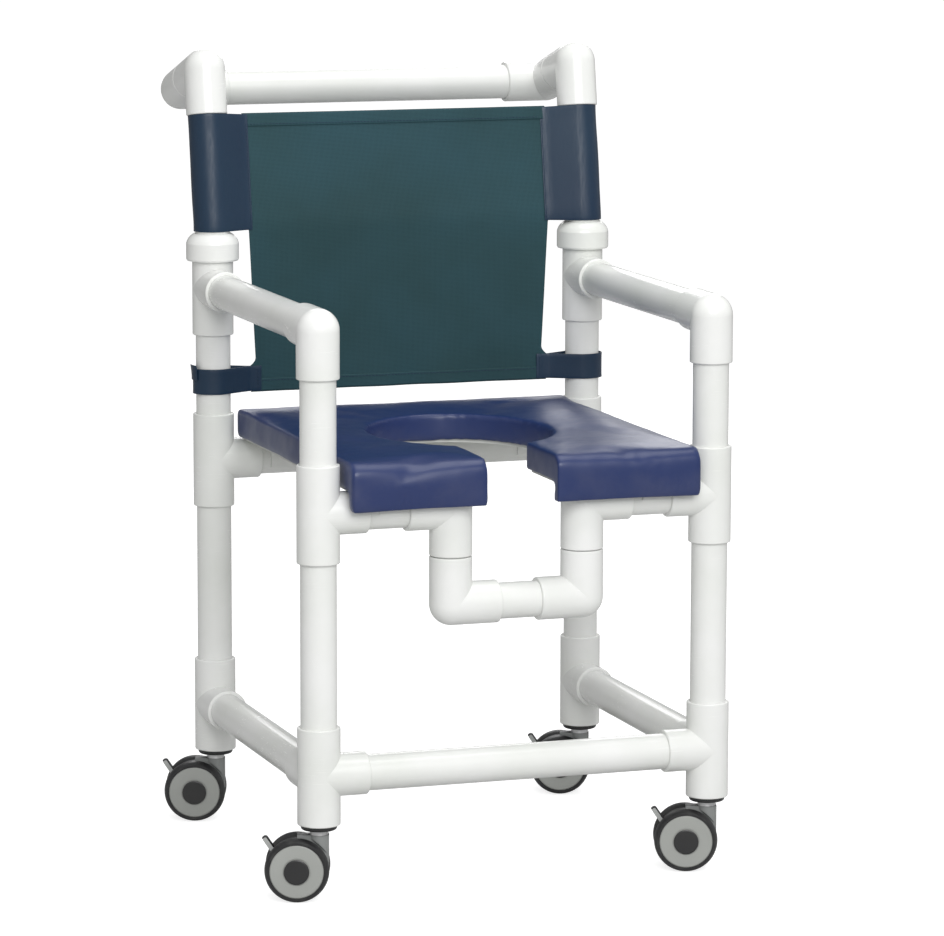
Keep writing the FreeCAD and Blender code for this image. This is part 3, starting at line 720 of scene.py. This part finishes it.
def finish_pad(obj):
    """Subdivides the settled pad once and works in the gathers and the soft unevenness of the foam."""
    finer = obj.modifiers.new("finer", "SUBSURF")
    finer.levels = 1
    finer.render_levels = 1
    bake_modifiers(obj)
    mesh = obj.data
    mesh.update()
    normals = [v.normal.copy() for v in mesh.vertices]
    for vertex, normal in zip(mesh.vertices, normals):
        soft = FOAM_SOFT * noise.noise(vertex.co * 18) + FOAM_GRAIN * noise.noise(vertex.co * 60)
        vertex.co += normal * (gather(vertex.co) + soft)
        if vertex.co.y > PAD_FRONT + TUCK_START:
            tuck = VINYL_TUCK * fade(vertex.co.z - PAD_UNDER, TUCK_FADE)
            vertex.co.z = max(vertex.co.z, PAD_UNDER) - tuck
    mesh.polygons.foreach_set("use_smooth", [True] * len(mesh.polygons))


pad = shrunk_copy("seat_cushion", nodes["seat_pad"], PAD_INSET)
inflate(pad)
finish_pad(pad)


def seat_vinyl():
    """Upholstery vinyl: fine leather grain, a soft coat, and dull scuffs mixed with a painted reflection,
    paler below the top edge.
    """
    material, tree, shader = new_material("seat_vinyl")
    place = tree.nodes.new("ShaderNodeTexCoord").outputs["Object"]
    grain = tree.nodes.new("ShaderNodeTexVoronoi")
    grain.inputs["Scale"].default_value = 900
    tree.links.new(place, grain.inputs["Vector"])
    wear = between(tree, noise_on(tree, place, 11, 5, 0.6), 0.45, 0.75)
    apart = tree.nodes.new("ShaderNodeSeparateXYZ")
    tree.links.new(place, apart.inputs[0])
    below_top = between(tree, apart.outputs["Z"], PAD_TOP - 0.012, PAD_TOP - 0.030)
    # Painted reflection and scuffs: a greyer tone mixed in by noise on the sides, from 12 to 30 mm below
    # the top and all the way down beneath that
    scuffs_and_painted_reflection = reckon(tree, "MULTIPLY", reckon(tree, "MULTIPLY", below_top, wear), 0.30)
    tree.links.new(blend_colours(tree, scuffs_and_painted_reflection, VINYL_COLOUR, VINYL_SCUFF_AND_REFLECTION), shader.inputs["Base Color"])
    tree.links.new(scaled(tree, wear, 0.16, 0.34), shader.inputs["Roughness"])
    shader.inputs["Coat Weight"].default_value = 0.14
    shader.inputs["Coat Roughness"].default_value = 0.3
    bump(tree, shader, grain.outputs["Distance"], 0.00012, 0.35)
    return material


pad.data.materials.clear()
pad.data.materials.append(seat_vinyl())
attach(pad, "frame")
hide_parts("seat_pad")


# ---- seat board, saddles, clips and screws ----
# A sawn plastic board under the foam, white moulded saddles and clips that hug the rails, and
# stainless pan-head screws driven up into the board.
BOARD_COLOUR = (0.62, 0.63, 0.6, 1)
BOARD_SHADE = (0.56, 0.57, 0.54, 1)
CLIP_COLOUR = (0.8, 0.81, 0.79, 1)
CLIP_SHADE = (0.75, 0.76, 0.73, 1)
STEEL_COLOUR = (0.6, 0.6, 0.6, 1)
STEEL_SHADE = (0.52, 0.52, 0.53, 1)
dress(["seat_board"], hard_plastic("seat_board", BOARD_COLOUR, BOARD_SHADE,
                                   roughness=0.5, scuffed=0.3, ripple=0.0002))
dress(["seat_saddles", "seat_clips"], hard_plastic("clip_plastic", CLIP_COLOUR, CLIP_SHADE,
                                                   roughness=0.28, scuffed=0.3, ripple=0.00008))


def stainless():
    """Stainless steel with fine scratches."""
    material, tree, shader = new_material("steel")
    marks = tree.nodes.new("ShaderNodeGroup")
    marks.node_tree = handling
    tint = blend_colours(tree, marks.outputs["Mottle"], STEEL_COLOUR, STEEL_SHADE)
    tree.links.new(tint, shader.inputs["Base Color"])
    shader.inputs["Metallic"].default_value = 1
    rough = scaled(tree, marks.outputs["Scratches"], 0.2, 0.3)
    tree.links.new(rough, shader.inputs["Roughness"])
    return material


steel = stainless()
dress(["seat_screws"], steel)


# ---- casters ----
# Twin-wheel casters on a steel stem in a black plug. The body is grey nylon with a black top shell, the
# wheels have a dark rubber tread, grey covers clip over them, and black caps close the axle.
NECK_BOTTOM = 0.0763
PAD_ON_LEVER = 0.0013
PAD_DOWN_LEVER = 0.015
PAD_FACING = 0.3  # how far upward a lever's face points to carry the pad
BODY_COLOUR = (0.27, 0.28, 0.275, 1)
BODY_SHADE = (0.24, 0.25, 0.245, 1)
LEVER_COLOUR = (0.42, 0.43, 0.42, 1)
LEVER_SHADE = (0.38, 0.39, 0.38, 1)
SHELL_COLOUR = (0.02, 0.02, 0.021, 1)
COVER_COLOUR = (0.37, 0.38, 0.36, 1)
COVER_SHADE = (0.33, 0.34, 0.32, 1)
BLACK_COLOUR = (0.018, 0.018, 0.019, 1)
BLACK_SHADE = (0.026, 0.026, 0.026, 1)
TREAD_COLOUR = (0.016, 0.016, 0.017, 1)
TREAD_DUST = (0.05, 0.05, 0.048, 1)
CASTERS = ["caster_" + end + "_" + side for end in ("front", "rear") for side in ("left", "right")]


def two_tone(name, grey, grey_shade, edge):
    """Grey nylon, black on the faces that point upward past edge and on the neck."""
    material, tree, shader = new_material(name)
    marks = tree.nodes.new("ShaderNodeGroup")
    marks.node_tree = handling
    facing = tree.nodes.new("ShaderNodeSeparateXYZ")
    tree.links.new(tree.nodes.new("ShaderNodeNewGeometry").outputs["True Normal"], facing.inputs[0])
    upward = between(tree, facing.outputs["Z"], edge, edge + 0.02)
    place = tree.nodes.new("ShaderNodeSeparateXYZ")
    tree.links.new(tree.nodes.new("ShaderNodeTexCoord").outputs["Object"], place.inputs[0])
    neck = between(tree, place.outputs["Z"], NECK_BOTTOM, NECK_BOTTOM + 0.0002)
    shell = reckon(tree, "MAXIMUM", upward, neck)
    tint = blend_colours(tree, marks.outputs["Mottle"], grey, grey_shade)
    tree.links.new(blend_colours(tree, shell, tint, SHELL_COLOUR), shader.inputs["Base Color"])
    rough = scaled(tree, marks.outputs["Scratches"], 0.25, 0.4)
    tree.links.new(rough, shader.inputs["Roughness"])
    bump(tree, shader, marks.outputs["Ripple"], 0.0001, 0.4)
    return material


def tread():
    """Dark rubber, a little dusty where it rolls."""
    material, tree, shader = new_material("tread_rubber")
    place = tree.nodes.new("ShaderNodeTexCoord").outputs["Object"]
    dust = between(tree, noise_on(tree, place, 60, 4, 0.6), 0.5, 0.8)
    tree.links.new(blend_colours(tree, dust, TREAD_COLOUR, TREAD_DUST), shader.inputs["Base Color"])
    tree.links.new(scaled(tree, dust, 0.2, 0.42), shader.inputs["Roughness"])
    bump(tree, shader, noise_on(tree, place, 700, 2), 0.0001, 0.4)
    return material


body_grey = two_tone("caster_body_grey", BODY_COLOUR, BODY_SHADE, edge=0.2)
lever_grey = two_tone("lever_grey", LEVER_COLOUR, LEVER_SHADE, edge=0.35)
cover_grey = hard_plastic("cover_grey", COVER_COLOUR, COVER_SHADE,
                          roughness=0.42, scuffed=0.2, ripple=0.0001)
black = hard_plastic("black_plastic", BLACK_COLOUR, BLACK_SHADE,
                     roughness=0.4, scuffed=0.2, ripple=0.0001)


def lever_pad(caster):
    """The black rubber pad moulded along the top of a brake lever."""
    source = nodes[caster + "_brake_lever"]
    _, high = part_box(caster + "_brake_lever")
    mesh = bmesh.new()
    mesh.from_mesh(source.data)
    bmesh.ops.remove_doubles(mesh, verts=mesh.verts, dist=1e-6)
    end = high.z - PAD_DOWN_LEVER
    spare = [f for f in mesh.faces if f.normal.z < PAD_FACING or f.calc_center_median().z < end]
    bmesh.ops.delete(mesh, geom=spare, context="FACES")
    data = bpy.data.meshes.new(caster + "_lever_pad")
    mesh.to_mesh(data)
    mesh.free()
    obj = link_new(caster + "_lever_pad", data)
    solid = obj.modifiers.new("thickness", "SOLIDIFY")
    solid.thickness = PAD_ON_LEVER
    solid.offset = 1
    bake_modifiers(obj)
    obj.data.materials.clear()
    obj.data.materials.append(black)
    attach(obj, caster.replace("caster_", "brake_"))


dress([c + "_body" for c in CASTERS], body_grey)
dress([c + "_brake_lever" for c in CASTERS], lever_grey)
dress([c + "_cover_" + side for c in CASTERS for side in ("front", "rear")], cover_grey)
dress([c + "_wheel_" + side for c in CASTERS for side in ("front", "rear")], tread())
dress([c + "_axle" for c in CASTERS] + ["caster_plugs"], black)
dress(["caster_stems"], steel)
for caster in CASTERS:
    lever_pad(caster)


# ---- floor, light and camera ----
# A plain pale sweep, floor and wall in one, under a broad soft box high in front, a weak one overhead
# and a weak one behind. The sweep glows to the camera only, so that it doesn't light the chair from below.
SWEEP_FRONT = -14
SWEEP_BEND = 5
SWEEP_ROUND = 3
SWEEP_TOP = 12
SWEEP_HALF = 16
SWEEP_STEPS = 12
SWEEP_GREY = (0.5, 0.5, 0.5, 1)
SWEEP_GLOW = 0.78
WORLD_LIGHT = 0.56
LIGHT_AIM = (0, 0, 0.5)


def sweep():
    """The floor, curving up into a wall well behind the chair."""
    profile = [(SWEEP_FRONT, 0), (SWEEP_BEND, 0)]
    for step in range(1, SWEEP_STEPS + 1):
        a = 0.5 * math.pi * step / SWEEP_STEPS
        profile.append((SWEEP_BEND + SWEEP_ROUND * math.sin(a), SWEEP_ROUND * (1 - math.cos(a))))
    profile.append((SWEEP_BEND + SWEEP_ROUND, SWEEP_TOP))
    count = len(profile) - 1

    def point(u, v):
        y, z = profile[round(v * count)]
        return Vector(((2 * u - 1) * SWEEP_HALF, y, z))

    floor = grid("studio_sweep", 2, count, point)
    floor.data.polygons.foreach_set("use_smooth", [True] * count * 2)
    material, tree, shader = new_material("studio_white")
    shader.inputs["Roughness"].default_value = 0.9
    shader.inputs["Specular IOR Level"].default_value = 0.1
    shader.inputs["Emission Color"].default_value = (1, 1, 1, 1)
    seen = tree.nodes.new("ShaderNodeLightPath").outputs["Is Camera Ray"]
    shader.inputs["Base Color"].default_value = SWEEP_GREY
    tree.links.new(reckon(tree, "MULTIPLY", seen, SWEEP_GLOW), shader.inputs["Emission Strength"])
    floor.data.materials.append(material)
    return floor


def soft_box(name, place, size, power):
    """A rectangular light aimed at the middle of the chair."""
    lamp = bpy.data.lights.new(name, "AREA")
    lamp.shape = "RECTANGLE"
    lamp.size, lamp.size_y = size
    lamp.energy = power
    obj = link_new(name, lamp)
    obj.location = place
    obj.rotation_euler = (Vector(LIGHT_AIM) - Vector(place)).to_track_quat("-Z", "Y").to_euler()
    return obj


floor = sweep()
lights = [
    soft_box("key", place=(-0.5, -3.7, 2.5), size=(2.8, 2.0), power=108),
    soft_box("top", place=(0.5, -0.3, 3.2), size=(2.0, 1.6), power=26),
    soft_box("rear", place=(1.2, 3.4, 2.2), size=(2.4, 1.6), power=36),
]
world = bpy.data.worlds.new("studio")
world.use_nodes = True
world.node_tree.nodes["Background"].inputs["Color"].default_value = (1, 1, 1, 1)
world.node_tree.nodes["Background"].inputs["Strength"].default_value = WORLD_LIGHT
bpy.context.scene.world = world
bpy.context.scene.view_settings.view_transform = "Standard"

CAMERA_AZIMUTH = math.radians(-18.92)
CAMERA_HEIGHT = math.radians(8.84)
CAMERA_ROLL = math.radians(0.14)
CAMERA_DISTANCE = 5.67048
CAMERA_TARGET = Vector((0.01995, 0, 0.45826))
CAMERA_LENS = 180.14
lens = bpy.data.cameras.new("camera")
lens.sensor_width = 36
lens.lens = CAMERA_LENS
lens.clip_end = 200
camera = link_new("camera", lens)
rearward = Vector((math.sin(CAMERA_AZIMUTH) * math.cos(CAMERA_HEIGHT),
                   -math.cos(CAMERA_AZIMUTH) * math.cos(CAMERA_HEIGHT), math.sin(CAMERA_HEIGHT)))
turned = rearward.to_track_quat("Z", "Y").to_matrix().to_4x4() @ Matrix.Rotation(CAMERA_ROLL, 4, "Z")
camera.matrix_world = Matrix.Translation(CAMERA_TARGET + rearward * CAMERA_DISTANCE) @ turned
bpy.context.scene.camera = camera
